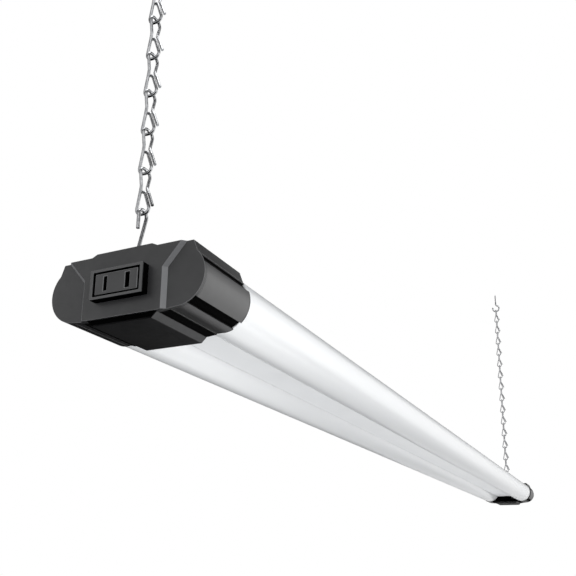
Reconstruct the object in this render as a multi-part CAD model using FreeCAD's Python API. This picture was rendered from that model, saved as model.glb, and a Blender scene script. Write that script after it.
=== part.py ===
import FreeCAD, Part
import math
import os

# A twin-tube shop light, hung at both ends on jack chain from two screw hooks in a ceiling.
# Millimetres. The origin is on the ceiling plane, midway between the two screw hooks. +Z is up,
# +Y runs from the end with the outlet to the end where the cord goes in, and +X is to the right
# of someone who faces the outlet. The light is the same at both ends, apart from its face plates.

# Overall sizes of the light
light_length = 1150.0        # over the two face plates
light_width = 88.6           # over the end caps
tube_diameter = 30.8
tube_spacing = 55.2          # between the two tubes' centre lines
tube_wall = 1.2
tube_centre_rise = 1.1       # tubes' centre lines above the light's own centre line
hook_inset = 12.2            # hanger pin behind the front of its face plate

# End caps
cap_depth = 45.0             # front of the face plate to the back of the cap
cap_wall = 2.4
cap_end_radius = 14.8
cap_arc_rise = 0.5           # the round sides' centre lines above the light's
cap_top = 16.7               # flat top, above the light's centre line
cap_bottom = -15.2
cap_top_half = 37.7          # half width of the flat top
cap_shoulder_angle = 46.0    # where the sloped shoulder runs into the round side, degrees
crown_rise = 1.4             # raised middle of the top
crown_half = 16.0
crown_ramp = 3.0
groove_depth = 1.4
foot_groove_width = 4.0      # under the cap, beside each round side
foot_groove_depth = 1.0
face_rim = 0.6               # plate left in front of the grooves
side_groove_angles = (-68.0, -48.0)   # wide groove low on the round side, degrees
upper_groove_angles = (20.0, 42.0)    # narrow groove under the shoulder, degrees

# Face plates
wing_setback = 2.0           # wings behind the middle of the face
face_thickness = 2.0
face_half = 22.4             # half width of the flat middle, below face_break
face_break = 5.5             # height where the middle begins to widen
face_top_half = 32.2         # half width of the flat middle at the top
face_bevel = 2.0
face_tab_length = 5.0
face_tab_thickness = 1.2
face_tab_sweep = 25.0        # half angle of the curved tabs, degrees

# Cover under each cap
cover_drop = 3.0
cover_half = 17.0            # half width of its flat underside
cover_bevel = 3.0
cover_wall = 1.2
cover_front = 1.0            # its front wall behind the front of the face plate
access_length = 22.0         # wiring opening in the cap's floor
access_width = 26.0
access_start = 12.0
lug_width = 6.0
lug_thickness = 1.4
lug_height = 4.2

# Outlet
bezel_width = 30.0
bezel_height = 14.6
bezel_reach = 4.6            # stands out from the face plate
bezel_lift = 0.1             # centre above the light's centre line
outlet_width = 26.8          # opening in the bezel
outlet_height = 12.2
outlet_side_gap = 1.3        # dark line at the insert's sides
outlet_gap = 1.0             # and over and under it
sleeve_wall = 1.0
insert_recess = 0.3          # insert's face behind the bezel's front
insert_depth = 13.0
slot_spacing = 12.7          # between the centres of the two blade slots
hot_slot = (2.0, 7.2)        # width and height
neutral_slot = (2.6, 7.7)
slot_depth = 14.0
contact_thickness = 0.5
contact_height = 6.0
contact_length = 8.0
contact_tail = 3.0

# Hanger pins and the pockets that the S-hooks drop into
pin_diameter = 3.0
pin_length = 14.0
pocket_width = 5.0
pocket_front = 8.4           # in front of the pin's centre line
pocket_back = 10.2           # behind it, past the S-hook's bend
pocket_floor_wall = 1.0
pocket_floor_clear = 0.4     # under the S-hook's bend
pocket_block_half = 7.4
pocket_over_outlet = 0.2     # between the pocket's block and the outlet under it

# Spine between the tubes
spine_gap = 0.4              # between spine and tube
spine_wall = 1.2
spine_top_drop = 2.5         # its top below the tubes' tops
spine_room = 11.1            # from the driver's board down to its walls' lower edges
spine_entry = 10.0           # how far the spine goes into each cap
spine_lip_height = 4.0
spine_lip_thickness = 1.0

# Tube plugs, LED rails, boards and chips
plug_disc = 2.0
plug_ring_length = 8.0
plug_ring_wall = 1.5
plug_boss_diameter = 9.0
plug_boss_reach = 2.0        # through the cap's back wall and this much further
plug_bore = 5.0
rail_side_gap = 0.4          # between the rail's edges and the tube
rail_thickness = 1.5
rail_rise = 5.0              # above the tube's centre line
board_width = 12.0
board_thickness = 1.0
board_end_gap = 3.5          # board's end behind the tube's end
chip_size = (3.5, 2.8, 0.8)
chip_count = 60
chip_end_gap = 16.0

# Driver
driver_length = 170.0
driver_width = 21.0
driver_thickness = 1.6
standoff_height = 4.4
component_gap = 4.0          # under the tallest component
driver_to_cord_end = 60.0    # from the spine's end to the board
standoff_diameter = 5.0
standoff_inset = 5.0
standoff_half_spacing = 6.0
driver_screw_diameter = 2.9
driver_screw_head = 5.0
driver_screw_head_height = 1.6
driver_screw_length = 4.0
driver_terminal_size = (14.0, 8.0, 8.0)
driver_terminal_inset = 14.0
terminal_block_size = (16.0, 18.0, 7.0)
terminal_block_inset = 8.0

# Wires
line_wire_diameter = 2.0
line_wire_half_spacing = 9.6
line_wire_drop = 2.2         # its centre line under the channel's top
thin_wire_diameter = 1.2
thin_wire_half_spacing = 1.3
led_wire_side = 7.7          # beside the driver's components
led_wire_lift = 2.0          # above the spine's lower edges
led_wire_turn = 1.1          # bend radius where they leave the terminals
saddle_count = 4
saddle_width = 4.6
saddle_length = 6.0

# Screws that hold each cap to the spine
cap_screw_diameter = 2.9
cap_screw_head = 5.6
cap_screw_length = 6.4
cap_screw_half_spacing = 9.0
cap_screw_from_back = 6.0    # in front of the cap's back

# Cord gland
gland_thread = 10.0
gland_bore = 7.4
gland_flange = 14.0
gland_flange_thickness = 3.0
gland_length = 9.0           # thread behind the flange
gland_nut_flats = 13.0
gland_nut_thickness = 4.0
gland_drop = 2.6             # below the light's centre line

# Chain, hooks
chain_wire = 1.6
link_inner = 22.9            # inside length of a link
link_loop_width = 9.5
link_corner_radius = 2.7
link_count = 14
chain_play = 0.3             # between one link and the next where they pull
tail_gap = 0.1               # between the doubled wires
s_wire = 1.8
s_upper_radius = 3.1         # to the wire's centre line
s_lower_radius = 4.2
s_centres = 28.0             # between the two bends' centres
s_upper_leg = 8.0
s_lower_leg = 5.8
hook_wire = 2.6
hook_radius = 6.0            # to the wire's centre line
hook_neck_radius = 3.0
hook_centre_drop = 11.5      # bend's centre below the ceiling
hook_tip_angle = 160.0       # end of the bend, degrees round from +X
thread_length = 18.0         # in the ceiling
thread_start = 1.0           # plain shank above the ceiling plane
thread_pitch = 2.0
thread_ridge = 0.45
thread_point = 4.0

# Clearances
fit = 0.2                    # round a part that passes through a hole
screw_fit = 0.1
pin_fit = 0.1

# Heights of everything that hangs, worked out from the hook down to the light
wire_radius = chain_wire / 2
link_half = link_inner / 2 + wire_radius
link_pitch = link_inner - chain_play
first_link_z = -(hook_centre_drop + hook_radius) + hook_wire / 2 + chain_play + wire_radius - link_half
last_link_z = first_link_z - (link_count - 1) * link_pitch
last_wire_z = last_link_z - link_half
s_top_z = last_wire_z + wire_radius + 2 * pin_fit + s_wire / 2 + fit - s_upper_radius
s_bend_outside = s_lower_radius + s_wire / 2
pocket_floor = bezel_lift + outlet_height / 2 + pocket_over_outlet + pocket_floor_wall
pin_rise = pocket_floor + pocket_floor_clear + s_bend_outside    # above the light's centre line
pin_z = s_top_z - s_centres
light_z = pin_z - pin_rise
hook_spacing = light_length - 2 * hook_inset
tube_radius = tube_diameter / 2
tube_x = tube_spacing / 2
tube_inner = tube_radius - tube_wall
rail_width = 2 * (math.sqrt(tube_inner**2 - (rail_rise + rail_thickness) ** 2) - rail_side_gap)
spine_top = tube_centre_rise + tube_radius - spine_top_drop
channel_ceiling = spine_top - spine_wall
driver_top = channel_ceiling - standoff_height
driver_rise = driver_top - driver_thickness    # underside of the driver's board
spine_bottom = driver_rise - spine_room
transformer_height = spine_room - component_gap
line_wire_rise = channel_ceiling - line_wire_drop
cap_arc_x = light_width / 2 - cap_end_radius
tube_start = cap_depth
tube_end = light_length - cap_depth

V = FreeCAD.Vector
os.makedirs("parts", exist_ok=True)


def save(name, *solids):
    """Write one named sub-part, given in its final place."""
    shape = solids[0] if len(solids) == 1 else Part.makeCompound(list(solids))
    shape.exportStep("parts/" + name + ".step")
    print(name, len(shape.Solids), "solids", round(shape.Volume, 1), "mm3", shape.isValid())


def box(x0, x1, y0, y1, z0, z1):
    return Part.makeBox(x1 - x0, y1 - y0, z1 - z0, V(x0, y0, z0))


def rod(radius, start, end):
    return Part.makeCylinder(radius, (end - start).Length, start, end - start)


def line(a, b):
    return Part.LineSegment(a, b).toShape()


def arc(a, middle, b):
    return Part.Arc(a, middle, b).toShape()


def polar(cx, cz, radius, degrees, y=0.0):
    turn = math.radians(degrees)
    return V(cx + radius * math.cos(turn), y, cz + radius * math.sin(turn))


def prism(edges, y0, y1):
    """Solid from an outline in the XZ plane, between two heights along Y."""
    face = Part.Face(Part.Wire(Part.__sortEdges__(edges)))
    face.translate(V(0, y0, 0))
    return face.extrude(V(0, y1 - y0, 0))


def closed(points):
    return [line(a, b) for a, b in zip(points, points[1:] + points[:1])]


def rounded(points, radii):
    """Path of straight runs joined by tangent arcs, one radius for each inner point."""
    edges = []
    at = points[0]
    for before, corner, after, radius in zip(points, points[1:], points[2:], radii):
        u = (before - corner).normalize()
        w = (after - corner).normalize()
        half = u.getAngle(w) / 2
        reach = radius / math.tan(half)
        start = corner + u * reach
        end = corner + w * reach
        middle = corner + (u + w).normalize() * (radius / math.sin(half) - radius)
        edges.append(line(at, start))
        edges.append(arc(start, middle, end))
        at = end
    edges.append(line(at, points[-1]))
    return edges


def wire_solid(edges, radius):
    """Round wire of one radius along a tangent path."""
    path = Part.Wire(edges)
    start = path.Edges[0].valueAt(path.Edges[0].FirstParameter)
    heading = path.Edges[0].tangentAt(path.Edges[0].FirstParameter)
    section = Part.Wire(Part.Circle(start, heading, radius).toShape())
    solid = path.makePipeShell([section], True, False)
    wanted = math.pi * radius**2 * path.Length
    if abs(solid.Volume - wanted) > 0.01 * wanted:
        print("wire volume is off", solid.Volume, wanted)
    return solid


def mirrored_x(shape):
    return shape.mirror(V(0, 0, 0), V(1, 0, 0))


def at_outlet_end(shape):
    return shape.translated(V(0, -light_length / 2, light_z))


def at_cord_end(shape):
    return shape.mirror(V(0, 0, 0), V(0, 1, 0)).translated(V(0, light_length / 2, light_z))


# End caps, in their own frame: y = 0 at the front of the face plate, z = 0 at the centre

def cap_outline():
    """Edges of the cap's outer section, all round."""
    crown_z = cap_top + crown_rise
    shoulder = polar(cap_arc_x, cap_arc_rise, cap_end_radius, cap_shoulder_angle)
    side = polar(cap_arc_x, cap_arc_rise, cap_end_radius, (cap_shoulder_angle - 90) / 2)
    foot = polar(cap_arc_x, cap_arc_rise, cap_end_radius, -90)
    floor_half = cover_half + cover_bevel
    right = [
        line(V(0, 0, crown_z), V(crown_half, 0, crown_z)),
        line(V(crown_half, 0, crown_z), V(crown_half + crown_ramp, 0, cap_top)),
        line(V(crown_half + crown_ramp, 0, cap_top), V(cap_top_half, 0, cap_top)),
        line(V(cap_top_half, 0, cap_top), shoulder),
        arc(shoulder, side, foot),
        line(foot, V(floor_half, 0, cap_bottom)),
        line(V(floor_half, 0, cap_bottom), V(0, 0, cap_bottom)),
    ]
    return right + [mirrored_x(edge) for edge in right]


def cavity_outline():
    """The cap's inner section: the round sides and the flats, one wall inside the outer ones."""
    inner = cap_end_radius - cap_wall
    top_z = cap_top - cap_wall
    floor_z = cap_bottom + cap_wall
    top_angle = 80.0
    upper = polar(cap_arc_x, cap_arc_rise, inner, top_angle)
    side = polar(cap_arc_x, cap_arc_rise, inner, 0)
    foot = polar(cap_arc_x, cap_arc_rise, inner, -90)
    floor_half = cover_half + cover_bevel
    right = [
        line(V(0, 0, top_z), V(upper.x - cap_wall, 0, top_z)),
        line(V(upper.x - cap_wall, 0, top_z), upper),
        arc(upper, side, foot),
        line(foot, V(floor_half, 0, floor_z)),
        line(V(floor_half, 0, floor_z), V(0, 0, floor_z)),
    ]
    return right + [mirrored_x(edge) for edge in right]


def groove(angles, y0, y1):
    """Length of the round side between two angles, one groove deep, on the +X side."""
    first, last = angles
    outer = cap_end_radius + 1
    inner = cap_end_radius - groove_depth
    middle = (first + last) / 2
    points = [polar(cap_arc_x, cap_arc_rise, r, a) for r, a in
              ((inner, first), (inner, middle), (inner, last), (outer, last), (outer, middle), (outer, first))]
    edges = [arc(*points[:3]), line(points[2], points[3]), arc(*points[3:]), line(points[5], points[0])]
    return prism(edges, y0, y1)


def cut_grooves(shape, y0, y1):
    for angles in (side_groove_angles, upper_groove_angles):
        right = groove(angles, y0, y1)
        shape = shape.cut(right).cut(mirrored_x(right))
    return shape


def spine_side_x(radius, z):
    """Where a spine side of this radius, hollowed round the +X tube, lies at one height."""
    return tube_x - math.sqrt(radius**2 - (z - tube_centre_rise) ** 2)


def spine_section(radius, top_z, low_z):
    """Edges of a section with a flat top and bottom and sides hollowed round the tubes."""
    middle_z = (top_z + low_z) / 2
    top, middle, low = [V(spine_side_x(radius, z), 0, z) for z in (top_z, middle_z, low_z)]
    right = [line(V(0, 0, top_z), top), arc(top, middle, low), line(low, V(0, 0, low_z))]
    return right + [mirrored_x(edge) for edge in right]


def cap_screw_places():
    y = cap_depth - cap_screw_from_back
    return [V(x, y, cap_top + crown_rise) for x in (-cap_screw_half_spacing, cap_screw_half_spacing)]


def countersunk(place, head, shank, length):
    """Countersunk screw that points down from a place on the top."""
    cone_height = (head - shank) / 2
    cone = Part.makeCone(shank / 2, head / 2, cone_height, place - V(0, 0, cone_height))
    return cone.fuse(Part.makeCylinder(shank / 2, length, place - V(0, 0, length)))


def end_cap():
    front = wing_setback + face_thickness
    body = prism(cap_outline(), front, cap_depth)
    body = cut_grooves(body, 0, cap_depth)
    foot = box(cap_arc_x - foot_groove_width, cap_arc_x, 0, cap_depth, cap_bottom - 1, cap_bottom + foot_groove_depth)
    body = body.cut(foot).cut(mirrored_x(foot))
    body = body.cut(prism(cavity_outline(), 0, cap_depth - cap_wall))
    block_back = hook_inset + pocket_back + cap_wall
    block = box(-pocket_block_half, pocket_block_half, front, block_back,
                pocket_floor - pocket_floor_wall, cap_top)
    body = body.fuse(block)
    pocket = box(-pocket_width / 2, pocket_width / 2, hook_inset - pocket_front + pocket_front_trim(),
                 hook_inset + pocket_back, pocket_floor, cap_top + 2 * crown_rise)
    body = body.cut(pocket)
    pin_bore = pin_diameter / 2 + pin_fit
    body = body.cut(rod(pin_bore, V(-pin_length / 2, hook_inset, pin_rise), V(pin_length / 2, hook_inset, pin_rise)))
    opening = spine_section(tube_radius + spine_gap - fit, spine_top + fit, spine_bottom - spine_wall - fit)
    body = body.cut(prism(opening, cap_depth - cap_wall - 1, cap_depth + 1))
    for x in (-tube_x, tube_x):
        start = V(x, cap_depth - cap_wall - 1, tube_centre_rise)
        body = body.cut(rod(plug_boss_diameter / 2 + fit, start, start + V(0, cap_wall + 2, 0)))
    body = body.cut(box(-access_width / 2, access_width / 2, access_start, access_start + access_length,
                        cap_bottom - 1, cap_bottom + cap_wall + 1))
    for place in cap_screw_places():
        body = body.cut(countersunk(place, cap_screw_head + 2 * screw_fit, cap_screw_diameter + 2 * screw_fit,
                                    cap_screw_length + 1))
    return body


def pocket_front_trim():
    """How much shorter the pocket is in front, to leave a wall behind the face plate."""
    front = wing_setback + face_thickness
    return max(0.0, front + spine_wall - (hook_inset - pocket_front))


def hanger_pin():
    half = pin_length / 2 - pin_fit
    return rod(pin_diameter / 2, V(-half, hook_inset, pin_rise), V(half, hook_inset, pin_rise))


def cap_screws():
    return [countersunk(place, cap_screw_head, cap_screw_diameter, cap_screw_length) for place in cap_screw_places()]


def plate_middle():
    """The raised middle of a face plate, with its bevels."""
    def section(y, grow):
        points = [V(-face_half - grow, y, cap_bottom - 1), V(face_half + grow, y, cap_bottom - 1),
                  V(face_half + grow, y, face_break), V(face_top_half + grow, y, cap_top),
                  V(face_top_half + grow, y, cap_top + 2 * crown_rise),
                  V(-face_top_half - grow, y, cap_top + 2 * crown_rise),
                  V(-face_top_half - grow, y, cap_top), V(-face_half - grow, y, face_break)]
        return Part.Wire(closed(points))

    return Part.makeLoft([section(0, 0), section(wing_setback, face_bevel)], True, True)


def face_plate():
    """Plate with set-back wings, a bevelled middle and tabs that go into the cap."""
    back = wing_setback + face_thickness
    whole = prism(cap_outline(), 0, back)
    plate = whole.common(box(-light_width, light_width, wing_setback, back, -light_width, light_width).fuse(
        plate_middle()))
    plate = cut_grooves(plate, wing_setback + face_rim, back + 1)
    hollow = box(-face_half + cap_wall, face_half - cap_wall, face_thickness, back,
                 cap_bottom + cap_wall, cap_top - cap_wall)
    plate = plate.cut(hollow)
    outer = cap_end_radius - cap_wall - fit
    inner = outer - face_tab_thickness
    angles = (-face_tab_sweep, 0, face_tab_sweep)
    out = [polar(cap_arc_x, cap_arc_rise, outer, a) for a in angles]
    into = [polar(cap_arc_x, cap_arc_rise, inner, a) for a in angles]
    tab = prism([arc(*out), line(out[2], into[2]), arc(*into), line(into[0], out[0])], back, back + face_tab_length)
    plate = plate.fuse(tab).fuse(mirrored_x(tab))
    floor_z = cap_bottom + cap_wall + fit
    for x in (-cover_half + lug_width, cover_half - lug_width):
        plate = plate.fuse(box(x - lug_width / 2, x + lug_width / 2, face_thickness, back + face_tab_length,
                               floor_z, floor_z + face_tab_thickness))
    return plate


def end_cover():
    """Shallow tray that snaps under the cap with two lugs in the wiring opening."""
    low = cap_bottom - cover_drop
    outer_half = cover_half + cover_bevel

    def tray(shrink, top):
        points = [V(-cover_half + shrink, 0, low + shrink), V(cover_half - shrink, 0, low + shrink),
                  V(outer_half - 1.4 * shrink, 0, top), V(-outer_half + 1.4 * shrink, 0, top)]
        return closed(points)

    body = prism(tray(0, cap_bottom), cover_front, cap_depth)
    inside = prism(tray(cover_wall, cap_bottom + 1), cover_front + cover_wall, cap_depth - cover_wall)
    body = body.cut(inside)
    middle = access_start + access_length / 2
    for side in (-1, 1):
        edge = side * (access_width / 2 - fit)
        inner = edge - side * lug_thickness
        body = body.fuse(box(min(edge, inner), max(edge, inner), middle - lug_width, middle + lug_width,
                             low + cover_wall - 0.1, low + cover_wall + lug_height))
    return body


# Outlet

def outlet_box(grow, y0, y1, side_grow=None):
    half_w = outlet_width / 2 + (grow if side_grow is None else side_grow)
    half_h = outlet_height / 2 + grow
    return box(-half_w, half_w, y0, y1, bezel_lift - half_h, bezel_lift + half_h)


def outlet_bezel():
    front = box(-bezel_width / 2, bezel_width / 2, -bezel_reach, 0,
                bezel_lift - bezel_height / 2, bezel_lift + bezel_height / 2)
    sleeve_end = wing_setback + face_thickness - fit
    sleeve = outlet_box(sleeve_wall, -1, sleeve_end)
    return front.fuse(sleeve).cut(outlet_box(0, -bezel_reach - 1, sleeve_end + 1))


def outlet_insert():
    face = -bezel_reach + insert_recess
    front = outlet_box(-outlet_gap, face, face_thickness, -outlet_side_gap)
    body = front.fuse(outlet_box(-screw_fit, face_thickness, insert_depth))
    for x, (width, height) in ((-slot_spacing / 2, hot_slot), (slot_spacing / 2, neutral_slot)):
        body = body.cut(box(x - width / 2, x + width / 2, face - 1, face + slot_depth,
                            bezel_lift - height / 2, bezel_lift + height / 2))
        tail = contact_thickness + 2 * screw_fit
        body = body.cut(box(x - tail, x + tail, 0, insert_depth + 1,
                            bezel_lift - contact_height / 2 - screw_fit, bezel_lift + contact_height / 2 + screw_fit))
    return body


def outlet_contact(x):
    """Two spring leaves joined at the back, with a tail for the wire."""
    back = insert_depth
    outer = contact_thickness + screw_fit
    leaf = contact_thickness
    z0 = bezel_lift - contact_height / 2
    z1 = bezel_lift + contact_height / 2
    fork = box(x - outer, x + outer, back - contact_length, back + leaf, z0, z1)
    gap = outer - leaf
    fork = fork.cut(box(x - gap, x + gap, back - contact_length - 1, back, z0 - 1, z1 + 1))
    tail = rod(line_wire_diameter / 2, V(x, back + leaf, bezel_lift), V(x, back + leaf + contact_tail, bezel_lift))
    return fork.fuse(tail)


# Cord gland

def gland():
    z = -gland_drop
    flange = rod(gland_flange / 2, V(0, -gland_flange_thickness, z), V(0, 0, z))
    flange = flange.makeChamfer(0.8, [e for e in flange.Edges if e.BoundBox.YMax < -gland_flange_thickness + 0.1
                                      and e.Closed])
    thread = rod(gland_thread / 2, V(0, 0, z), V(0, gland_length, z))
    bore = rod(gland_bore / 2, V(0, -gland_flange_thickness - 1, z), V(0, gland_length + 1, z))
    return flange.fuse(thread).cut(bore)


def gland_nut():
    z = -gland_drop
    corner = gland_nut_flats / math.sqrt(3)
    points = [polar(0, z, corner, 60 * step) for step in range(6)]
    nut = prism(closed(points), face_thickness, face_thickness + gland_nut_thickness)
    hole = gland_thread / 2 + screw_fit
    return nut.cut(rod(hole, V(0, 0, z), V(0, gland_length + 1, z)))


# Spine, tubes, LED parts: y measured from the outlet end's face, as on the caps

spine_start = cap_depth - spine_entry
spine_finish = light_length - spine_start


def spine_channel():
    radius = tube_radius + spine_gap
    outer = prism(spine_section(radius, spine_top, spine_bottom), spine_start, spine_finish)
    inner = prism(spine_section(radius + spine_wall, spine_top - spine_wall, spine_bottom - 1),
                  spine_start - 1, spine_finish + 1)
    body = outer.cut(inner)
    for end in (0, 1):
        for place in cap_screw_places():
            y = place.y if end == 0 else light_length - place.y
            hole = rod(cap_screw_diameter / 2 + screw_fit, V(place.x, y, spine_top - 2 * spine_wall),
                       V(place.x, y, spine_top + 1))
            body = body.cut(hole)
    return body


def spine_cover():
    radius = tube_radius + spine_gap
    strip = prism(spine_section(radius, spine_bottom, spine_bottom - spine_wall), spine_start, spine_finish)
    inside = radius + spine_wall + fit
    lip_z = spine_bottom + spine_lip_height
    lips = prism(spine_section(inside, lip_z, spine_bottom), spine_start, spine_finish)
    between = prism(spine_section(inside + spine_lip_thickness, lip_z + 1, spine_bottom - 1), spine_start - 1,
                    spine_finish + 1)
    return strip.fuse(lips.cut(between))


def tube(x):
    start = V(x, tube_start, tube_centre_rise)
    end = V(x, tube_end, tube_centre_rise)
    return rod(tube_radius, start, end).cut(rod(tube_inner, start - V(0, 1, 0), end + V(0, 1, 0)))


def rail_box(x, grow, y0, y1):
    z0 = tube_centre_rise + rail_rise
    return box(x - rail_width / 2 - grow, x + rail_width / 2 + grow, y0, y1, z0 - grow, z0 + rail_thickness + grow)


def tube_plug(x):
    """Disc and ring inside the tube's end, with a hollow boss through the cap's back wall."""
    centre = V(x, cap_depth, tube_centre_rise)
    ahead = V(0, 1, 0)
    radius = tube_inner - fit
    plug = rod(radius, centre, centre + ahead * (plug_disc + plug_ring_length))
    plug = plug.cut(rod(radius - plug_ring_wall, centre + ahead * plug_disc, centre + ahead * 20))
    plug = plug.fuse(rod(plug_boss_diameter / 2, centre - ahead * (cap_wall + plug_boss_reach), centre + ahead))
    plug = plug.cut(rod(plug_bore / 2, centre - ahead * 20, centre + ahead * 20))
    return plug.cut(rail_box(x, fit / 2, cap_depth + plug_disc, cap_depth + 20))


def led_rail(x):
    gap = plug_disc + fit
    return rail_box(x, 0, tube_start + gap, tube_end - gap)


def led_board(x):
    z1 = tube_centre_rise + rail_rise
    return box(x - board_width / 2, x + board_width / 2, tube_start + board_end_gap, tube_end - board_end_gap,
               z1 - board_thickness, z1)


def led_chips(x):
    length, width, height = chip_size
    z1 = tube_centre_rise + rail_rise - board_thickness
    first = tube_start + chip_end_gap
    pitch = (tube_end - chip_end_gap - first) / (chip_count - 1)
    return [box(x - width / 2, x + width / 2, first + i * pitch - length / 2, first + i * pitch + length / 2,
                z1 - height, z1) for i in range(chip_count)]


# Driver, in the spine near the cord end

driver_end = spine_finish - driver_to_cord_end
driver_start = driver_end - driver_length


def standoff_places():
    return [V(x, y, driver_top) for x in (-standoff_half_spacing, standoff_half_spacing)
            for y in (driver_start + standoff_inset, driver_end - standoff_inset)]


def driver_board():
    board = box(-driver_width / 2, driver_width / 2, driver_start, driver_end, driver_rise, driver_top)
    for place in standoff_places():
        board = board.cut(rod(driver_screw_diameter / 2 + screw_fit, place - V(0, 0, 5), place + V(0, 0, 1)))
    return board


def standoffs():
    posts = []
    for place in standoff_places():
        post = rod(standoff_diameter / 2, place, V(place.x, place.y, channel_ceiling))
        posts.append(post.cut(rod(driver_screw_diameter / 2 + screw_fit, place - V(0, 0, 1),
                                  place + V(0, 0, driver_screw_length))))
    return posts


def driver_screws():
    screws = []
    for place in standoff_places():
        under = V(place.x, place.y, driver_rise)
        head = rod(driver_screw_head / 2, under - V(0, 0, driver_screw_head_height), under)
        shank = rod(driver_screw_diameter / 2, under, under + V(0, 0, driver_screw_length))
        screws.append(head.fuse(shank))
    return screws


def under_board(x, y, width, length, height):
    """A box-shaped component that hangs under the board, its centre given."""
    return box(x - width / 2, x + width / 2, y - length / 2, y + length / 2, driver_rise - height, driver_rise)


def transformer():
    core = under_board(0, driver_start + 84, 16, 20, transformer_height)
    bobbin = under_board(0, driver_start + 84, 12, 27, 0.77 * transformer_height)
    return core.fuse(bobbin)


def capacitors():
    cans = []
    for offset, radius, length in ((40, 4.5, 16), (62, 4.0, 12), (128, 4.0, 14)):
        centre = V(0, driver_start + offset, driver_rise - radius)
        cans.append(rod(radius, centre - V(0, length / 2, 0), centre + V(0, length / 2, 0)))
    return cans


def inductor():
    top = V(0, driver_start + 108, driver_rise)
    core = rod(5.5, top - V(0, 0, 8), top)
    return core.cut(rod(2, top - V(0, 0, 9), top - V(0, 0, 2)))


def fuse_holder():
    y = driver_start + 143
    body = rod(2.6, V(-7, y, driver_rise - 3), V(7, y, driver_rise - 3))
    for x in (-7, 4):
        body = body.fuse(box(x, x + 3, y - 3, y + 3, driver_rise - 6, driver_rise))
    return body


def driver_terminals():
    width, length, height = driver_terminal_size
    return [under_board(0, y, width, length, height)
            for y in (driver_start + driver_terminal_inset, driver_end - driver_terminal_inset)]


def terminal_block():
    """Where the cord's conductors would be clamped, under the channel's top."""
    width, length, height = terminal_block_size
    end = spine_finish - terminal_block_inset
    block = box(-width / 2, width / 2, end - length, end, channel_ceiling - height, channel_ceiling)
    for x in (-4, 4):
        z = channel_ceiling - height / 2
        block = block.cut(rod(line_wire_diameter / 2 + fit, V(x, end - 4, z), V(x, end + 1, z)))
    return block


# Wires inside the light

def line_wire(side):
    """From the terminal block along the spine to one outlet contact."""
    x = side * line_wire_half_spacing
    block_side = side * (terminal_block_size[0] / 2)
    block_y = spine_finish - terminal_block_inset - terminal_block_size[1] / 2
    tail_y = insert_depth + contact_thickness + contact_tail
    contact_x = side * slot_spacing / 2
    bend = 3.0
    points = [V(block_side + side * fit / 4, block_y, line_wire_rise - 1.5),
              V(x + side * 1.2, block_y, line_wire_rise - 1.5),
              V(x, block_y - 14, line_wire_rise), V(x, spine_start - 2, line_wire_rise),
              V(contact_x, tail_y + 5, bezel_lift), V(contact_x, tail_y, bezel_lift)]
    return wire_solid(rounded(points, [1.2, bend * 3, bend * 1.5, bend]), line_wire_diameter / 2)


def feed_wires():
    """From the terminal block to the driver's input terminals."""
    z0 = channel_ceiling - terminal_block_size[2] / 2
    start = spine_finish - terminal_block_inset - terminal_block_size[1]
    end = driver_end - driver_terminal_inset + driver_terminal_size[1] / 2
    low = driver_rise - driver_terminal_size[2] / 2
    wires = []
    for x in (-4, 4):
        points = [V(x, start, z0), V(x, start - 8, z0), V(x, driver_end + 8, low), V(x, end, low)]
        wires.append(wire_solid(rounded(points, [6, 6]), thin_wire_diameter / 2))
    return wires


def led_wires(side):
    """Two wires from the driver's output, out of the spine, and back through the plug's bore."""
    wires = []
    turn_y = light_length - (spine_start - 8)
    start_y = driver_start + driver_terminal_inset - driver_terminal_size[1] / 2
    low = spine_bottom + led_wire_lift
    socket_z = driver_rise - driver_terminal_size[2] + 1
    pad_z = tube_centre_rise + rail_rise - board_thickness - thin_wire_diameter / 2 - fit / 2
    for step in (-1, 1):
        offset = step * thin_wire_half_spacing
        x0 = side * (4 - offset)
        x_out = side * (led_wire_side + offset)
        x1 = side * (tube_x - offset)
        out_y = turn_y - offset
        points = [V(x0, start_y, socket_z), V(x0, start_y - 7 - offset, socket_z),
                  V(x_out, start_y - 7 - offset, low), V(x_out, out_y, low), V(x1, out_y, tube_centre_rise),
                  V(x1, tube_end + 2, tube_centre_rise), V(x1, tube_end - 7, pad_z), V(x1, tube_end - 13, pad_z)]
        route = rounded(points, [led_wire_turn, led_wire_turn, 3.5, 3.5, 5, 5])
        wires.append(wire_solid(route, thin_wire_diameter / 2))
    return wires


def wire_saddles():
    saddles = []
    for i in range(saddle_count):
        y = spine_start + (driver_start - spine_start) * (i + 0.5) / saddle_count
        for side in (-1, 1):
            x = side * line_wire_half_spacing
            low = line_wire_rise - line_wire_diameter / 2 - spine_wall
            body = box(x - saddle_width / 2, x + saddle_width / 2, y - saddle_length / 2, y + saddle_length / 2,
                       low, channel_ceiling)
            hole = rod(line_wire_diameter / 2 + fit, V(x, y - saddle_length, line_wire_rise),
                       V(x, y + saddle_length, line_wire_rise))
            saddles.append(body.cut(hole))
    return saddles


# Chain, S-hooks and screw hooks

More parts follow.
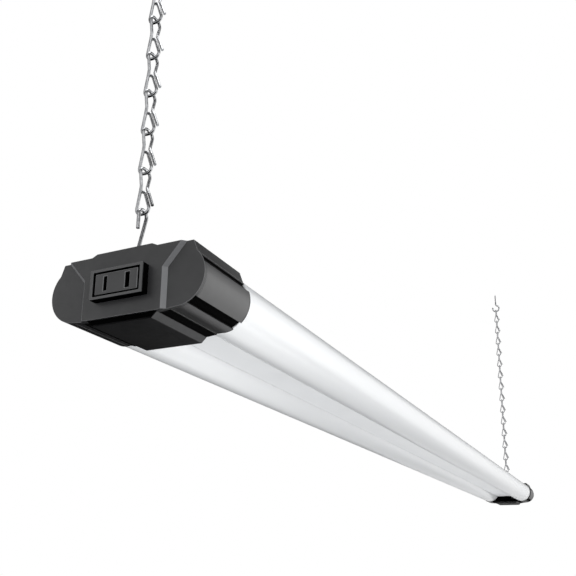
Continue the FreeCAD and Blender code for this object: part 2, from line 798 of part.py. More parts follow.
def chain_link():
    """One wire, centred on its waist: upper loop in the YZ plane, lower loop in the XZ plane.

    It starts with the blunt tail beside the lower loop, goes round the upper loop and then the
    lower one, and ends blunt at the left of the waist.
    """
    half = link_loop_width / 2 - wire_radius
    corner = half + 0.55
    doubled = chain_wire + tail_gap
    tail_z = -link_half + link_corner_radius + 1.0
    tail_x = half + doubled - 0.3
    points = [
        V(tail_x, 0.2, tail_z),
        V(2.35, 0.75, -1.2),
        V(0.3, 1.75, 2.4),
        V(0, corner, link_half),
        V(0, -corner, link_half),
        V(-0.5, -1.95, 2.2),
        V(-1.65, -1.2, -1.4),
        V(-corner, 0, -link_half),
        V(corner, 0, -link_half),
        V(0.45, 0.0, -0.6),
        V(-1.9, 0.35, 0.7),
    ]
    radii = [3.0, 4.0, link_corner_radius, link_corner_radius, 4.0, 3.0, link_corner_radius, link_corner_radius, 1.1]
    return wire_solid(rounded(points, radii), wire_radius)


def s_hook():
    """In the YZ plane: the upper bend opens to the front, the lower bend to the back."""
    up, down = s_upper_radius, s_lower_radius
    lean = math.asin((up + down) / s_centres)
    top, low = s_top_z, pin_z
    shank_top = V(0, up * math.cos(lean), top - up * math.sin(lean))
    shank_low = V(0, -down * math.cos(lean), low + down * math.sin(lean))
    edges = [
        line(V(0, -up, top - s_upper_leg), V(0, -up, top)),
        arc(V(0, -up, top), V(0, 0, top + up), shank_top),
        line(shank_top, shank_low),
        arc(shank_low, V(0, 0, low - down), V(0, down, low)),
        line(V(0, down, low), V(0, down, low + s_lower_leg)),
    ]
    return wire_solid(edges, s_wire / 2)


def ceiling_hook():
    """Screw hook in the XZ plane, its threaded end pointing up into the ceiling."""
    r, neck = hook_radius, hook_neck_radius
    zc = -hook_centre_drop
    turn = math.degrees(math.acos(neck / (neck + r)))
    neck_z = zc + math.sqrt((r + neck) ** 2 - neck**2)
    join = polar(0, zc, r, turn)
    tip = polar(0, zc, r, hook_tip_angle)
    sweep = turn + 360 - hook_tip_angle
    core = hook_wire / 2
    shank = rod(core, V(0, 0, neck_z), V(0, 0, thread_start))
    edges = [
        arc(V(0, 0, neck_z), polar(neck, neck_z, neck, 180 + turn / 2), join),
        arc(join, polar(0, zc, r, turn - sweep / 2), tip),
    ]
    hook = wire_solid(edges, core)
    root = core - thread_ridge
    turns = int((thread_length - thread_point - thread_start) / thread_pitch)
    points = [V(0, 0, thread_start), V(core, 0, thread_start)]
    for i in range(turns):
        z = thread_start + i * thread_pitch
        points += [V(root, 0, z + 0.2 * thread_pitch), V(root, 0, z + 0.6 * thread_pitch),
                   V(core, 0, z + 0.9 * thread_pitch)]
    points += [V(core, 0, thread_start + turns * thread_pitch), V(0, 0, thread_length)]
    screw = Part.Face(Part.Wire(closed(points))).revolve(V(0, 0, 0), V(0, 0, 1), 360)
    return hook.fuse(shank).fuse(screw)


def hang(shape, side):
    return shape.translated(V(0, side * hook_spacing / 2, 0))


def build():
    hook, link, s = ceiling_hook(), chain_link(), s_hook()
    for name, side in (("near", -1), ("far", 1)):
        save(name + "_ceiling_hook", hang(hook, side))
        save(name + "_top_link", hang(link.translated(V(0, 0, first_link_z)), side))
        rest = [hang(link.translated(V(0, 0, first_link_z - i * link_pitch)), side) for i in range(1, link_count)]
        save(name + "_chain_links", *rest)
        save(name + "_s_hook", hang(s, side))

    cap, pin, screws, cover, plate = end_cap(), hanger_pin(), cap_screws(), end_cover(), face_plate()
    outlet_hole = outlet_box(sleeve_wall + fit, -1, wing_setback + face_thickness + 1)
    gland_hole = rod(gland_thread / 2 + fit, V(0, -1, -gland_drop), V(0, 9, -gland_drop))
    for name, place in (("outlet", at_outlet_end), ("cord", at_cord_end)):
        save(name + "_end_cap", place(cap))
        save(name + "_hanger_pin", place(pin))
        save(name + "_cap_screws", *[place(s) for s in screws])
        save(name + "_end_cover", place(cover))
        save(name + "_face_plate", place(plate.cut(outlet_hole if name == "outlet" else gland_hole)))
        save(name + "_tube_plugs", *[place(tube_plug(x)) for x in (-tube_x, tube_x)])
    save("outlet_bezel", at_outlet_end(outlet_bezel()))
    save("outlet_insert", at_outlet_end(outlet_insert()))
    save("outlet_contact_hot", at_outlet_end(outlet_contact(-slot_spacing / 2)))
    save("outlet_contact_neutral", at_outlet_end(outlet_contact(slot_spacing / 2)))
    save("cord_gland", at_cord_end(gland()))
    save("cord_gland_nut", at_cord_end(gland_nut()))

    save("spine_channel", at_outlet_end(spine_channel()))
    save("spine_cover", at_outlet_end(spine_cover()))
    for name, x, side in (("left", -tube_x, -1), ("right", tube_x, 1)):
        save(name + "_tube", at_outlet_end(tube(x)))
        save(name + "_led_rail", at_outlet_end(led_rail(x)))
        save(name + "_led_board", at_outlet_end(led_board(x)))
        save(name + "_led_chips", *[at_outlet_end(chip) for chip in led_chips(x)])
        save(name + "_led_wires", *[at_outlet_end(w) for w in led_wires(side)])
    save("driver_board", at_outlet_end(driver_board()))
    save("driver_standoffs", *[at_outlet_end(s) for s in standoffs()])
    save("driver_screws", *[at_outlet_end(s) for s in driver_screws()])
    save("driver_transformer", at_outlet_end(transformer()))
    save("driver_capacitors", *[at_outlet_end(c) for c in capacitors()])
    save("driver_inductor", at_outlet_end(inductor()))
    save("driver_fuse", at_outlet_end(fuse_holder()))
    save("driver_terminals", *[at_outlet_end(t) for t in driver_terminals()])
    save("terminal_block", at_outlet_end(terminal_block()))
    save("line_wire_hot", at_outlet_end(line_wire(-1)))
    save("line_wire_neutral", at_outlet_end(line_wire(1)))
    save("feed_wires", *[at_outlet_end(w) for w in feed_wires()])
    save("wire_saddles", *[at_outlet_end(s) for s in wire_saddles()])


build()
print("light centre height", round(light_z, 3), "hook spacing", hook_spacing)
print("first link", round(first_link_z, 3), "last bottom wire", round(last_wire_z, 3))
print("S-hook top bend", round(s_top_z, 3), "pin", round(pin_z, 3))
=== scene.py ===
import math

import bmesh
import bpy
from mathutils import Matrix, Vector

# Looks for a twin-tube shop light on two chains. Metres, in the frame of the CAD model:
# origin on the ceiling plane, +Z up, +Y from the outlet to the cord end, +X right of the outlet.
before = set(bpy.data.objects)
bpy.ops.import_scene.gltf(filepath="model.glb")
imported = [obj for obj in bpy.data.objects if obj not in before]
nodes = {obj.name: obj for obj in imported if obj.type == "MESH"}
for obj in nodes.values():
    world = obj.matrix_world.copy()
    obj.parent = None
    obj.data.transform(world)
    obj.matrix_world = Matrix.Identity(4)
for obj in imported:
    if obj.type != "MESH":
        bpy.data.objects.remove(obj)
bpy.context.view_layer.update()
print("loaded", len(nodes), "nodes")

mm = 0.001
lightCentreZ = -375.3 * mm

# the photograph's camera, the floor and the soft light
studio = {
    "cameraPlace": (0.2065, -0.8277, -0.5003),
    "cameraYaw": -0.4426,
    "cameraPitch": 0.2545,
    "cameraRoll": 0.011,
    "lens": 45.11,
    "shiftY": 0.15,
    "nearClip": 0.01,
    "floorDrop": -1.05,
    "floorRadius": 5.0,
    "floorColour": (0.92, 0.92, 0.92, 1.0),
    "floorFade": (0.5, 2.6),         # metres from the middle where the lit floor gives way to white
    "floorWhite": (0.55, 1.0),       # and how white it is at those two distances
    "skyColour": (0.97, 0.985, 1.0, 1.0),
    "skyLevel": 0.98,
    "lamps": [
        # name, place, aims at, size, watts
        ("rightSoftbox", (1.15, -1.45, 0.15), (0.0, -0.45, -0.38), (0.9, 0.9), 2.0),
        ("overhead", (0.3, 0.1, 1.4), (0.0, 0.0, -0.38), (1.8, 2.6), 2.4),
    ],
    # cards that only show in the shine of metal and plastic: black ones, and bright ones
    "cards": [
        # name, place, aims at, size, brightness
        ("rightHighCard", (1.0, -0.75, 0.55), (0.0, -0.56, -0.3), (1.1, 1.0), 0.0),
        ("frontHighCard", (-0.25, -1.55, 0.65), (0.0, -0.56, -0.3), (1.1, 0.8), 0.0),
        ("underCard", (-0.3, 0.3, -0.95), (-0.3, 0.3, 0.0), (4.5, 4.5), 0.0),
        ("leftLowCard", (-1.7, 1.1, -0.6), (0.0, -0.55, -0.38), (2.8, 0.9), 0.0),
        ("leftHighCard", (-1.5, 0.0, 0.5), (0.0, -0.3, -0.38), (2.2, 1.0), 0.0),
        ("backCard", (-0.8, 2.0, 0.45), (0.0, 0.0, -0.3), (2.4, 2.2), 0.0),
        ("shoulderCard", (-0.33, 0.17, 0.22), (0.03, -0.55, -0.36), (0.25, 0.25), 0.4),
        ("backHighCard", (0.13, 0.41, 0.63), (0.0, -0.55, -0.38), (0.9, 0.5), 0.0),
        ("sideStrip", (0.95, 0.35, -0.45), (0.0, -0.55, -0.38), (0.9, 1.3), 2.4),
        ("topStrip", (0.05, -0.6, 0.7), (0.0, -0.57, -0.38), (0.7, 0.5), 5.5),
        ("lowStrip", (0.1, 0.08, -0.85), (0.1, 0.08, 0.0), (0.8, 0.5), 1.5),
        ("lowSideStrip", (0.4, -0.02, -0.83), (0.03, -0.57, -0.38), (0.5, 0.35), 2.6),
    ],
}


def makeCamera():
    yaw, pitch, roll = studio["cameraYaw"], studio["cameraPitch"], studio["cameraRoll"]
    forward = Vector((math.sin(yaw) * math.cos(pitch), math.cos(yaw) * math.cos(pitch), math.sin(pitch)))
    side = Vector((math.cos(yaw), -math.sin(yaw), 0.0))
    over = side.cross(forward)
    right = side * math.cos(roll) + over * math.sin(roll)
    up = over * math.cos(roll) - side * math.sin(roll)
    turn = Matrix((right, up, -forward)).transposed()
    camera = bpy.data.objects.new("photoCamera", bpy.data.cameras.new("photoCamera"))
    bpy.context.scene.collection.objects.link(camera)
    camera.matrix_world = Matrix.Translation(studio["cameraPlace"]) @ turn.to_4x4()
    camera.data.lens = studio["lens"]
    camera.data.shift_y = studio["shiftY"]
    camera.data.clip_start = studio["nearClip"]
    bpy.context.scene.camera = camera


# small helpers for building a finish out of nodes
def addNode(tree, kind, values=None, **settings):
    node = tree.nodes.new("ShaderNode" + kind)
    for key, setting in settings.items():
        setattr(node, key, setting)
    for key, value in (values or {}).items():
        if isinstance(value, bpy.types.NodeSocket):
            tree.links.new(value, node.inputs[key])
        else:
            node.inputs[key].default_value = value
    return node


def maths(tree, operation, first, second=0.0, third=None):
    values = {0: first, 1: second}
    if third is not None:
        values[2] = third
    return addNode(tree, "Math", values, operation=operation).outputs[0]


def spread(tree, value, low, high, toLow=0.0, toHigh=1.0):
    return addNode(tree, "MapRange", {"Value": value, "From Min": low, "From Max": high,
                                      "To Min": toLow, "To Max": toHigh}).outputs[0]


def noise(tree, place, scale, detail=3.0, stretch=(1, 1, 1)):
    if stretch != (1, 1, 1):
        place = addNode(tree, "Mapping", {"Vector": place, "Scale": stretch}).outputs[0]
    return addNode(tree, "TexNoise", {"Vector": place, "Scale": scale, "Detail": detail}).outputs["Fac"]


def blend(tree, factor, first, second):
    node = tree.nodes.new("ShaderNodeMix")
    node.data_type = "RGBA"
    for socket, value in zip((node.inputs[0], node.inputs[6], node.inputs[7]), (factor, first, second)):
        if isinstance(value, bpy.types.NodeSocket):
            tree.links.new(value, socket)
        else:
            socket.default_value = value if isinstance(value, float) else (*value[:3], 1.0)
    return node.outputs[2]


def addBump(tree, shader, height, strength, depth):
    values = {"Height": height, "Strength": strength, "Distance": depth}
    if shader.inputs["Normal"].is_linked:
        values["Normal"] = shader.inputs["Normal"].links[0].from_socket
    tree.links.new(addNode(tree, "Bump", values).outputs[0], shader.inputs["Normal"])


# a principled shader with a mottled colour, an uneven gloss and a fine grain
def makeFinish(name, look):
    paint = bpy.data.materials.new(name)
    paint.use_nodes = True
    tree = paint.node_tree
    shader = tree.nodes["Principled BSDF"]
    shader.inputs["Metallic"].default_value = look.get("metallic", 0.0)
    shader.inputs["Specular IOR Level"].default_value = look.get("specular", 0.5)
    shader.inputs["Coat Weight"].default_value = look.get("coat", 0.0)
    shader.inputs["Coat Roughness"].default_value = look.get("coatGloss", 0.12)
    if "glow" in look:                       # light that gets through a milky wall
        shader.inputs["Subsurface Weight"].default_value = look["glow"][0]
        shader.inputs["Subsurface Radius"].default_value = look["glow"][1]
        shader.inputs["Subsurface Scale"].default_value = mm
    place = addNode(tree, "TexCoord").outputs["Object"]
    stretch = look.get("stretch", (1, 1, 1))
    mottle = spread(tree, noise(tree, place, look["mottleScale"], 4.0, stretch), 0.35, 0.65)
    colour = blend(tree, mottle, look["colour"], look["second"])
    gloss = spread(tree, noise(tree, place, look["glossScale"], 3.0, stretch), 0.3, 0.7, *look["gloss"])
    tree.links.new(colour, shader.inputs["Base Color"])
    tree.links.new(gloss, shader.inputs["Roughness"])
    if "grain" in look:
        scale, strength, depth = look["grain"]
        addBump(tree, shader, noise(tree, place, scale, 2.0, stretch), strength, depth * mm)
    return paint, tree, shader, place


# puts something over the finish's colour or gloss, where the mask is 1
def overColour(tree, shader, mask, colour):
    below = shader.inputs["Base Color"].links[0].from_socket
    tree.links.new(blend(tree, mask, below, colour), shader.inputs["Base Color"])


def overGloss(tree, shader, mask, gloss):
    below = shader.inputs["Roughness"].links[0].from_socket
    kept = maths(tree, "MULTIPLY", below, maths(tree, "SUBTRACT", 1.0, mask))
    tree.links.new(maths(tree, "MULTIPLY_ADD", mask, gloss, kept), shader.inputs["Roughness"])


def applyFinish(paint, *names):
    for name in names:
        nodes[name].data.materials[0] = paint


# 1 for rays that should meet the plain white background, 0 for the light it gives
def seenDirectly(tree):
    path = addNode(tree, "LightPath").outputs
    first = maths(tree, "MAXIMUM", path["Is Camera Ray"], path["Is Glossy Ray"])
    return maths(tree, "MAXIMUM", first, path["Is Transmission Ray"])


def makeWorld():
    world = bpy.data.worlds.new("studioWorld")
    world.use_nodes = True
    tree = world.node_tree
    tree.nodes.clear()
    given = addNode(tree, "Background", {"Color": studio["skyColour"], "Strength": studio["skyLevel"]})
    seen = addNode(tree, "Background", {"Color": (1.0, 1.0, 1.0, 1.0)})
    mix = addNode(tree, "MixShader", {0: seenDirectly(tree), 1: given.outputs[0], 2: seen.outputs[0]})
    addNode(tree, "OutputWorld", {0: mix.outputs[0]})
    bpy.context.scene.world = world


def stageObject(name, mesh):
    thing = bpy.data.objects.new(name, mesh)
    bpy.context.scene.collection.objects.link(thing)
    return thing


def makeFloor():
    mesh = bpy.data.meshes.new("floor")
    shape = bmesh.new()
    bmesh.ops.create_circle(shape, cap_ends=True, segments=64, radius=studio["floorRadius"])
    shape.to_mesh(mesh)
    shape.free()
    stageObject("floor", mesh).location = (0, 0, studio["floorDrop"])
    paint = bpy.data.materials.new("paleFloor")
    paint.use_nodes = True
    tree = paint.node_tree
    tree.nodes.clear()
    lit = addNode(tree, "BsdfDiffuse", {"Color": studio["floorColour"]})
    white = addNode(tree, "Emission", {"Color": (1, 1, 1, 1)})
    place = addNode(tree, "TexCoord").outputs["Object"]
    away = addNode(tree, "VectorMath", {0: place}, operation="LENGTH").outputs["Value"]
    fade = spread(tree, away, *studio["floorFade"], *studio["floorWhite"])
    both = maths(tree, "MULTIPLY", fade, seenDirectly(tree))
    mix = addNode(tree, "MixShader", {0: both, 1: lit.outputs[0], 2: white.outputs[0]})
    addNode(tree, "OutputMaterial", {0: mix.outputs[0]})
    mesh.materials.append(paint)


def aim(thing, place, target):
    thing.location = place
    thing.rotation_mode = "QUATERNION"
    thing.rotation_quaternion = (Vector(target) - Vector(place)).to_track_quat("-Z", "Y")


def makeLamps():
    for name, place, target, size, watts in studio["lamps"]:
        lamp = bpy.data.lights.new(name, "AREA")
        lamp.shape = "RECTANGLE"
        lamp.size, lamp.size_y = size
        lamp.energy = watts
        holder = bpy.data.objects.new(name, lamp)
        bpy.context.scene.collection.objects.link(holder)
        aim(holder, place, target)


def makeCards():
    for name, place, target, (width, height), brightness in studio["cards"]:
        flat = bpy.data.materials.new(name)
        flat.use_nodes = True
        flat.node_tree.nodes.clear()
        glow = addNode(flat.node_tree, "Emission", {"Strength": brightness})
        addNode(flat.node_tree, "OutputMaterial", {0: glow.outputs[0]})
        mesh = bpy.data.meshes.new(name)
        corners = [(x * width / 2, y * height / 2, 0) for x, y in ((-1, -1), (1, -1), (1, 1), (-1, 1))]
        mesh.from_pydata(corners, [], [(0, 1, 2, 3)])
        mesh.materials.append(flat)
        card = stageObject(name, mesh)
        aim(card, place, target)
        card.visible_camera = False
        card.visible_diffuse = False
        card.visible_transmission = False
        card.visible_shadow = False


makeCamera()
makeWorld()
makeFloor()
makeLamps()
makeCards()
bpy.context.scene.view_settings.view_transform = "Standard"
print("studio ready")

# moulded plastic of the end caps, their covers, the face plates and the outlet
plastic = {
    # grain is its scale, its strength and its depth in mm
    "cap": {"colour": (0.014, 0.014, 0.015), "second": (0.019, 0.019, 0.020), "mottleScale": 60.0,
            "glossScale": 220.0, "gloss": (0.37, 0.40), "grain": (1900.0, 0.30, 0.03), "specular": 0.72},
    # the covers' black is darker than the caps' so that it paints the shade of the underside
    "cover": {"colour": (0.008, 0.008, 0.009), "second": (0.011, 0.011, 0.012), "mottleScale": 60.0,
              "glossScale": 220.0, "gloss": (0.42, 0.52), "grain": (1900.0, 0.30, 0.03), "specular": 0.3},
    "face": {"colour": (0.022, 0.022, 0.023), "second": (0.028, 0.028, 0.029), "mottleScale": 60.0,
             "glossScale": 220.0, "gloss": (0.40, 0.48), "grain": (1900.0, 0.35, 0.03)},
    "bezel": {"colour": (0.046, 0.046, 0.047), "second": (0.054, 0.054, 0.055), "mottleScale": 90.0,
              "glossScale": 260.0, "gloss": (0.34, 0.42), "grain": (2200.0, 0.25, 0.03)},
    "insert": {"colour": (0.026, 0.026, 0.027), "second": (0.032, 0.032, 0.033), "mottleScale": 90.0,
               "glossScale": 260.0, "gloss": (0.36, 0.44), "grain": (2200.0, 0.25, 0.03)},
    "part": {"colour": (0.016, 0.016, 0.017), "second": (0.024, 0.024, 0.025), "mottleScale": 150.0,
             "glossScale": 300.0, "gloss": (0.40, 0.55), "grain": (2200.0, 0.30, 0.03)},
    "shade": (0.003, 0.003, 0.003),  # painted shade in grooves, slots and on the sides that face other parts
    "shadeGloss": 0.95,
    "bevelHighlight": (0.16, 0.16, 0.165),   # painted highlight on the bevels of the face plate
    "coverBevelHighlight": (0.035, 0.035, 0.036),
    "bezelBevelHighlight": (0.14, 0.14, 0.142),
    "leaning": (0.35, 0.94),         # a bevel's normal has this much of the direction it leans from
    # where shade is painted, in mm along the light from its middle
    "capBack": 530.5,                # the caps' back walls, round the tubes, are behind this
    "grooveFront": 572.4,            # so are the grooves in the round sides
    "coverFront": 573.4,             # the cover's front wall is ahead of this
    "bezelFront": 579.1,             # the bezel's sides are behind this
    "slotFront": 578.7,              # and the insert's slots behind this
    # and in mm across it, from its centre line
    "grooveAxis": (29.5, 0.5),       # centre of each round side
    "grooveRadii": (14.0, 14.55),    # nearer to that axis than this it is groove
    "footFlat": (28.9, -14.6),       # half width and height of the caps' flat floor
}

edges = {
    # how far each piece's hard edges are eased, in mm
    "widths": {
        "outlet_end_cap": 0.35, "cord_end_cap": 0.35, "outlet_end_cover": 0.4, "cord_end_cover": 0.4,
        "outlet_face_plate": 0.3, "cord_face_plate": 0.3, "outlet_bezel": 0.45, "outlet_insert": 0.25,
        "cord_gland_nut": 0.3, "spine_channel": 0.25, "spine_cover": 0.25,
    },
    "weldReach": 0.002,              # mm
    "flatWithin": 0.6,               # degrees between faces that count as one flat face
    "hardFrom": 22.0,                # degrees from which an edge is hard
    "steps": 2,
    "evenWeight": 50,
}


def softenEdges(node, width):
    weld = node.modifiers.new("weld", "WELD")
    weld.merge_threshold = edges["weldReach"] * mm
    flat = node.modifiers.new("flat", "DECIMATE")
    flat.decimate_type = "DISSOLVE"
    flat.angle_limit = math.radians(edges["flatWithin"])
    bevel = node.modifiers.new("bevel", "BEVEL")
    bevel.width = width * mm
    bevel.segments = edges["steps"]
    bevel.limit_method = "ANGLE"
    bevel.angle_limit = math.radians(edges["hardFrom"])
    bevel.use_clamp_overlap = True
    even = node.modifiers.new("even", "WEIGHTED_NORMAL")
    even.weight = edges["evenWeight"]


# painted shade: black without the skin of shine that plastic has
def paintShade(tree, shader, mask):
    overColour(tree, shader, mask, plastic["shade"])
    overGloss(tree, shader, mask, plastic["shadeGloss"])
    skin = shader.inputs["Metallic"]
    if skin.is_linked:
        mask = maths(tree, "MAXIMUM", skin.links[0].from_socket, mask)
    tree.links.new(mask, skin)


def placeParts(tree, place):
    parts = addNode(tree, "SeparateXYZ", {0: place}).outputs
    return maths(tree, "ABSOLUTE", parts["X"]), maths(tree, "ABSOLUTE", parts["Y"]), parts["Z"]


# 1 where the place along the light is ahead of a named distance, or behind it
def alongLight(tree, place, side, key):
    return maths(tree, side, placeParts(tree, place)[1], plastic[key] * mm)


# painted shade: the grooves in the round sides are painted matt black
def paintGrooveShade(tree, shader, place):
    axisX, axisZ = plastic["grooveAxis"]
    inner, outer = plastic["grooveRadii"]
    x, _, z = placeParts(tree, place)
    across = maths(tree, "SUBTRACT", x, axisX * mm)
    above = maths(tree, "SUBTRACT", z, lightCentreZ + axisZ * mm)
    squares = maths(tree, "MULTIPLY_ADD", across, across, maths(tree, "MULTIPLY", above, above))
    groove = spread(tree, maths(tree, "SQRT", squares), inner * mm, outer * mm, 1.0, 0.0)
    behind = alongLight(tree, place, "LESS_THAN", "grooveFront")
    paintShade(tree, shader, maths(tree, "MULTIPLY", behind, groove))


# painted shade on the flat floor beside the cover as well
def paintFloorShade(tree, shader, place):
    x, _, z = placeParts(tree, place)
    half, height = plastic["footFlat"]
    paintShade(tree, shader, maths(tree, "MULTIPLY", maths(tree, "LESS_THAN", x, half * mm),
                             maths(tree, "LESS_THAN", z, lightCentreZ + height * mm)))


# painted highlight: the bevels, the faces that lean between two of the main directions, are painted a
# little lighter
def paintBevelHighlight(tree, shader, axis, colour):
    normal = addNode(tree, "NewGeometry").outputs["True Normal"]
    along = maths(tree, "ABSOLUTE", addNode(tree, "SeparateXYZ", {0: normal}).outputs[axis])
    low, high = plastic["leaning"]
    mask = maths(tree, "MULTIPLY", maths(tree, "GREATER_THAN", along, low),
                 maths(tree, "LESS_THAN", along, high))
    overColour(tree, shader, mask, colour)


def makePlastics():
    cap, tree, shader, place = makeFinish("mouldedBlack", plastic["cap"])
    # painted shade in the grooves of the caps' round sides
    paintGrooveShade(tree, shader, place)
    # painted shade on the caps' flat floor
    paintFloorShade(tree, shader, place)
    # painted shade on the caps' back walls round the tubes
    paintShade(tree, shader, alongLight(tree, place, "LESS_THAN", "capBack"))
    applyFinish(cap, "outlet_end_cap", "cord_end_cap")
    cover, tree, shader, place = makeFinish("coverBlack", plastic["cover"])
    # painted shade on the cover's front wall under the face plate
    paintShade(tree, shader, alongLight(tree, place, "GREATER_THAN", "coverFront"))
    # painted highlight on the cover's bevels
    paintBevelHighlight(tree, shader, "Z", plastic["coverBevelHighlight"])
    applyFinish(cover, "outlet_end_cover", "cord_end_cover")
    face, tree, shader, place = makeFinish("faceBlack", plastic["face"])
    # painted highlight on the face plate's bevels
    paintBevelHighlight(tree, shader, "Y", plastic["bevelHighlight"])
    # painted shade in the face plate's grooves
    paintGrooveShade(tree, shader, place)
    applyFinish(face, "outlet_face_plate", "cord_face_plate")
    bezel, tree, shader, place = makeFinish("bezelBlack", plastic["bezel"])
    # painted shade on the bezel's sides behind its front
    paintShade(tree, shader, alongLight(tree, place, "LESS_THAN", "bezelFront"))
    # painted highlight on the bezel's bevels
    paintBevelHighlight(tree, shader, "Y", plastic["bezelBevelHighlight"])
    applyFinish(bezel, "outlet_bezel")
    insert, tree, shader, place = makeFinish("insertBlack", plastic["insert"])
    # painted shade in the insert's slots
    paintShade(tree, shader, alongLight(tree, place, "LESS_THAN", "slotFront"))
    # painted highlight on the insert's bevels
    paintBevelHighlight(tree, shader, "Y", plastic["bezelBevelHighlight"])
    applyFinish(insert, "outlet_insert")
    applyFinish(makeFinish("smallPartBlack", plastic["part"])[0], "cord_gland", "cord_gland_nut",
                "driver_transformer", "driver_inductor", "driver_fuse")


makePlastics()
for name, width in edges["widths"].items():
    softenEdges(nodes[name], width)
print("plastics ready")

# milky tubes, with the faint lengthwise lines that an extruded wall has
tubes = {
    "look": {"colour": (0.88, 0.885, 0.89), "second": (0.905, 0.91, 0.915), "mottleScale": 24.0,
             "glossScale": 60.0, "gloss": (0.34, 0.44), "grain": (900.0, 0.12, 0.02),
             "stretch": (1.0, 0.04, 1.0), "specular": 0.25, "glow": (0.12, (2.0, 2.0, 2.2)), "coat": 1.0,
             "coatGloss": 0.28},
    # the lines' scale, how it is stretched along the tube, their strength and their depth in mm
    "lines": 420.0,
    "lineStretch": (1.0, 0.004, 1.0),
    "lineStrength": 0.35,
    "lineDepth": 0.02,
}

# white baked paint on the sheet between the tubes
sheet = {
    "look": {"colour": (0.86, 0.865, 0.87), "second": (0.88, 0.885, 0.89), "mottleScale": 18.0,
             "glossScale": 90.0, "gloss": (0.34, 0.44), "grain": (420.0, 0.35, 0.05), "specular": 0.3},
    # half widths between which the painted shadow beside each tube falls, under the centre line and over it
    "shadowBands": {"LESS_THAN": (12.5, 13.1), "GREATER_THAN": (17.8, 18.4)},
    "shadowColour": (0.62, 0.62, 0.63),
}

# white mouldings inside the light
moulded = {"colour": (0.72, 0.71, 0.68), "second": (0.78, 0.77, 0.75), "mottleScale": 120.0,
           "glossScale": 200.0, "gloss": (0.36, 0.48), "grain": (1500.0, 0.25, 0.03)}


def makeWhites():
    milky, tree, shader, place = makeFinish("milkyDiffuser", tubes["look"])
    drawn = noise(tree, place, tubes["lines"], 1.0, tubes["lineStretch"])
    addBump(tree, shader, drawn, tubes["lineStrength"], tubes["lineDepth"] * mm)
    applyFinish(milky, "left_tube", "right_tube")
    white, tree, shader, place = makeFinish("whitePaint", sheet["look"])
    x, _, z = placeParts(tree, place)
    # painted shadow beside each tube, on the sheet under and over the centre line
    for side, (low, high) in sheet["shadowBands"].items():
        tubeShadow = spread(tree, x, low * mm, high * mm)
        overColour(tree, shader, maths(tree, "MULTIPLY", maths(tree, side, z, lightCentreZ), tubeShadow),
                   sheet["shadowColour"])
    applyFinish(white, "spine_channel", "spine_cover")
    applyFinish(makeFinish("mouldedWhite", moulded)[0], "outlet_tube_plugs", "cord_tube_plugs",
                "driver_standoffs", "wire_saddles")


makeWhites()
print("whites ready")

# bright zinc on the chains and hooks, plain steel on pins and screws
metal = {
    "chain": {"colour": (0.30, 0.305, 0.315), "second": (0.46, 0.465, 0.475), "mottleScale": 500.0,
              "glossScale": 700.0, "gloss": (0.13, 0.26), "grain": (1600.0, 0.18, 0.03), "metallic": 1.0},
    "hook": {"colour": (0.30, 0.305, 0.315), "second": (0.46, 0.465, 0.475), "mottleScale": 300.0,
             "glossScale": 500.0, "gloss": (0.15, 0.30), "grain": (1400.0, 0.20, 0.03), "metallic": 1.0},
    "pin": {"colour": (0.50, 0.50, 0.51), "second": (0.60, 0.60, 0.61), "mottleScale": 400.0,
            "glossScale": 900.0, "gloss": (0.22, 0.36), "grain": (2500.0, 0.20, 0.02), "metallic": 1.0,
            "stretch": (0.1, 1.0, 1.0)},
    "screw": {"colour": (0.40, 0.40, 0.41), "second": (0.55, 0.55, 0.56), "mottleScale": 600.0,
              "glossScale": 900.0, "gloss": (0.24, 0.42), "grain": (2500.0, 0.25, 0.02), "metallic": 1.0},
    "brass": {"colour": (0.70, 0.50, 0.22), "second": (0.80, 0.60, 0.30), "mottleScale": 500.0,
              "glossScale": 900.0, "gloss": (0.20, 0.34), "grain": (2500.0, 0.20, 0.02), "metallic": 1.0},
    "rail": {"colour": (0.74, 0.74, 0.75), "second": (0.82, 0.82, 0.83), "mottleScale": 160.0,
             "glossScale": 400.0, "gloss": (0.26, 0.42), "grain": (900.0, 0.35, 0.02), "metallic": 1.0,
             "stretch": (1.0, 0.02, 1.0)},
}


def makeMetals():
    for key, paintName, names in (
            ("chain", "brightZinc", ("near_top_link", "far_top_link", "near_chain_links", "far_chain_links",
                                     "near_s_hook", "far_s_hook")),
            ("hook", "hookZinc", ("near_ceiling_hook", "far_ceiling_hook")),
            ("pin", "drawnSteel", ("outlet_hanger_pin", "cord_hanger_pin")),
            ("screw", "screwSteel", ("outlet_cap_screws", "cord_cap_screws", "driver_screws")),
            ("brass", "contactBrass", ("outlet_contact_hot", "outlet_contact_neutral")),
            ("rail", "drawnAluminium", ("left_led_rail", "right_led_rail"))):
        applyFinish(makeFinish(paintName, metal[key])[0], *names)


makeMetals()
print("metals ready")

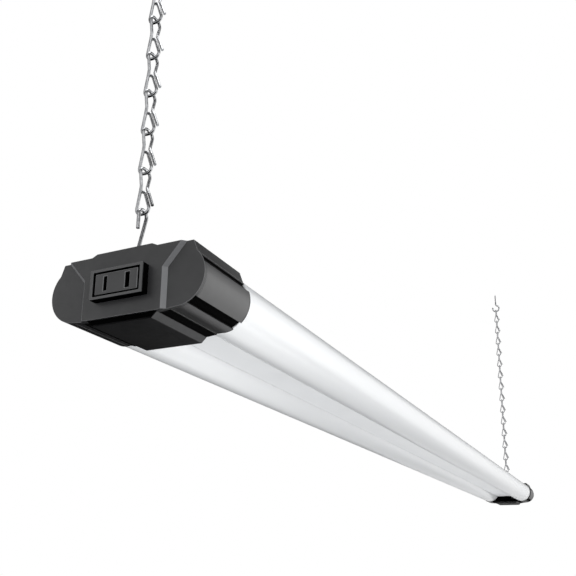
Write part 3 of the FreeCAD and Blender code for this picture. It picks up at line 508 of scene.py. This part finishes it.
# boards, chips, wires and the driver's small parts
electrics = {
    "boardWhite": {"colour": (0.78, 0.79, 0.77), "second": (0.82, 0.83, 0.81), "mottleScale": 90.0,
                   "glossScale": 200.0, "gloss": (0.30, 0.42), "grain": (700.0, 0.2, 0.02)},
    "boardGreen": {"colour": (0.020, 0.120, 0.045), "second": (0.030, 0.150, 0.060), "mottleScale": 90.0,
                   "glossScale": 200.0, "gloss": (0.26, 0.40), "grain": (700.0, 0.3, 0.02)},
    "chip": {"colour": (0.82, 0.62, 0.16), "second": (0.88, 0.70, 0.24), "mottleScale": 600.0,
             "glossScale": 800.0, "gloss": (0.30, 0.45), "grain": (1800.0, 0.3, 0.02)},
    "sleeve": {"colour": (0.020, 0.026, 0.060), "second": (0.028, 0.036, 0.075), "mottleScale": 200.0,
               "glossScale": 400.0, "gloss": (0.25, 0.38), "grain": (1200.0, 0.25, 0.03)},
    "terminal": {"colour": (0.03, 0.24, 0.10), "second": (0.04, 0.29, 0.13), "mottleScale": 250.0,
                 "glossScale": 400.0, "gloss": (0.34, 0.46), "grain": (1500.0, 0.3, 0.03)},
    "wireRed": {"colour": (0.52, 0.02, 0.015), "second": (0.60, 0.03, 0.02), "mottleScale": 300.0,
                "glossScale": 500.0, "gloss": (0.32, 0.44), "grain": (1500.0, 0.2, 0.02)},
    "wireBlack": {"colour": (0.016, 0.016, 0.017), "second": (0.022, 0.022, 0.023), "mottleScale": 300.0,
                  "glossScale": 500.0, "gloss": (0.32, 0.44), "grain": (1500.0, 0.2, 0.02)},
    "wireWhite": {"colour": (0.74, 0.74, 0.72), "second": (0.79, 0.79, 0.77), "mottleScale": 300.0,
                  "glossScale": 500.0, "gloss": (0.32, 0.44), "grain": (1500.0, 0.2, 0.02)},
    # the boards' copper paths: how wide they are, their bump, and each board's colour, scale and stretch
    "trackEdge": (0.06, 0.10),
    "trackBump": (0.5, 0.03),
    "ledTracks": ((0.62, 0.64, 0.60), 190.0, (1.0, 0.25, 1.0)),
    "driverTracks": ((0.045, 0.22, 0.07), 210.0, (1.0, 0.6, 1.0)),
}


# copper paths under the board's lacquer, drawn as a stretched cell pattern
def drawTracks(tree, shader, place, colour, size, stretch):
    flat = addNode(tree, "Mapping", {"Vector": place, "Scale": stretch}).outputs[0]
    cells = addNode(tree, "TexVoronoi", {"Vector": flat, "Scale": size}, feature="DISTANCE_TO_EDGE")
    track = spread(tree, cells.outputs["Distance"], *electrics["trackEdge"], 1.0, 0.0)
    strength, depth = electrics["trackBump"]
    overColour(tree, shader, track, colour)
    addBump(tree, shader, track, strength, depth * mm)


def makeElectrics():
    ledBoard, tree, shader, place = makeFinish("ledBoard", electrics["boardWhite"])
    drawTracks(tree, shader, place, *electrics["ledTracks"])
    applyFinish(ledBoard, "left_led_board", "right_led_board")
    driverBoard, tree, shader, place = makeFinish("driverBoard", electrics["boardGreen"])
    drawTracks(tree, shader, place, *electrics["driverTracks"])
    applyFinish(driverBoard, "driver_board")
    for key, paintName, names in (
            ("chip", "yellowChip", ("left_led_chips", "right_led_chips")),
            ("sleeve", "capacitorSleeve", ("driver_capacitors",)),
            ("terminal", "terminalGreen", ("driver_terminals", "terminal_block")),
            ("wireRed", "redInsulation", ("left_led_wires", "right_led_wires")),
            ("wireBlack", "blackInsulation", ("line_wire_hot", "feed_wires")),
            ("wireWhite", "whiteInsulation", ("line_wire_neutral",))):
        applyFinish(makeFinish(paintName, electrics[key])[0], *names)


makeElectrics()
print("boards and wires ready")

print("finished")
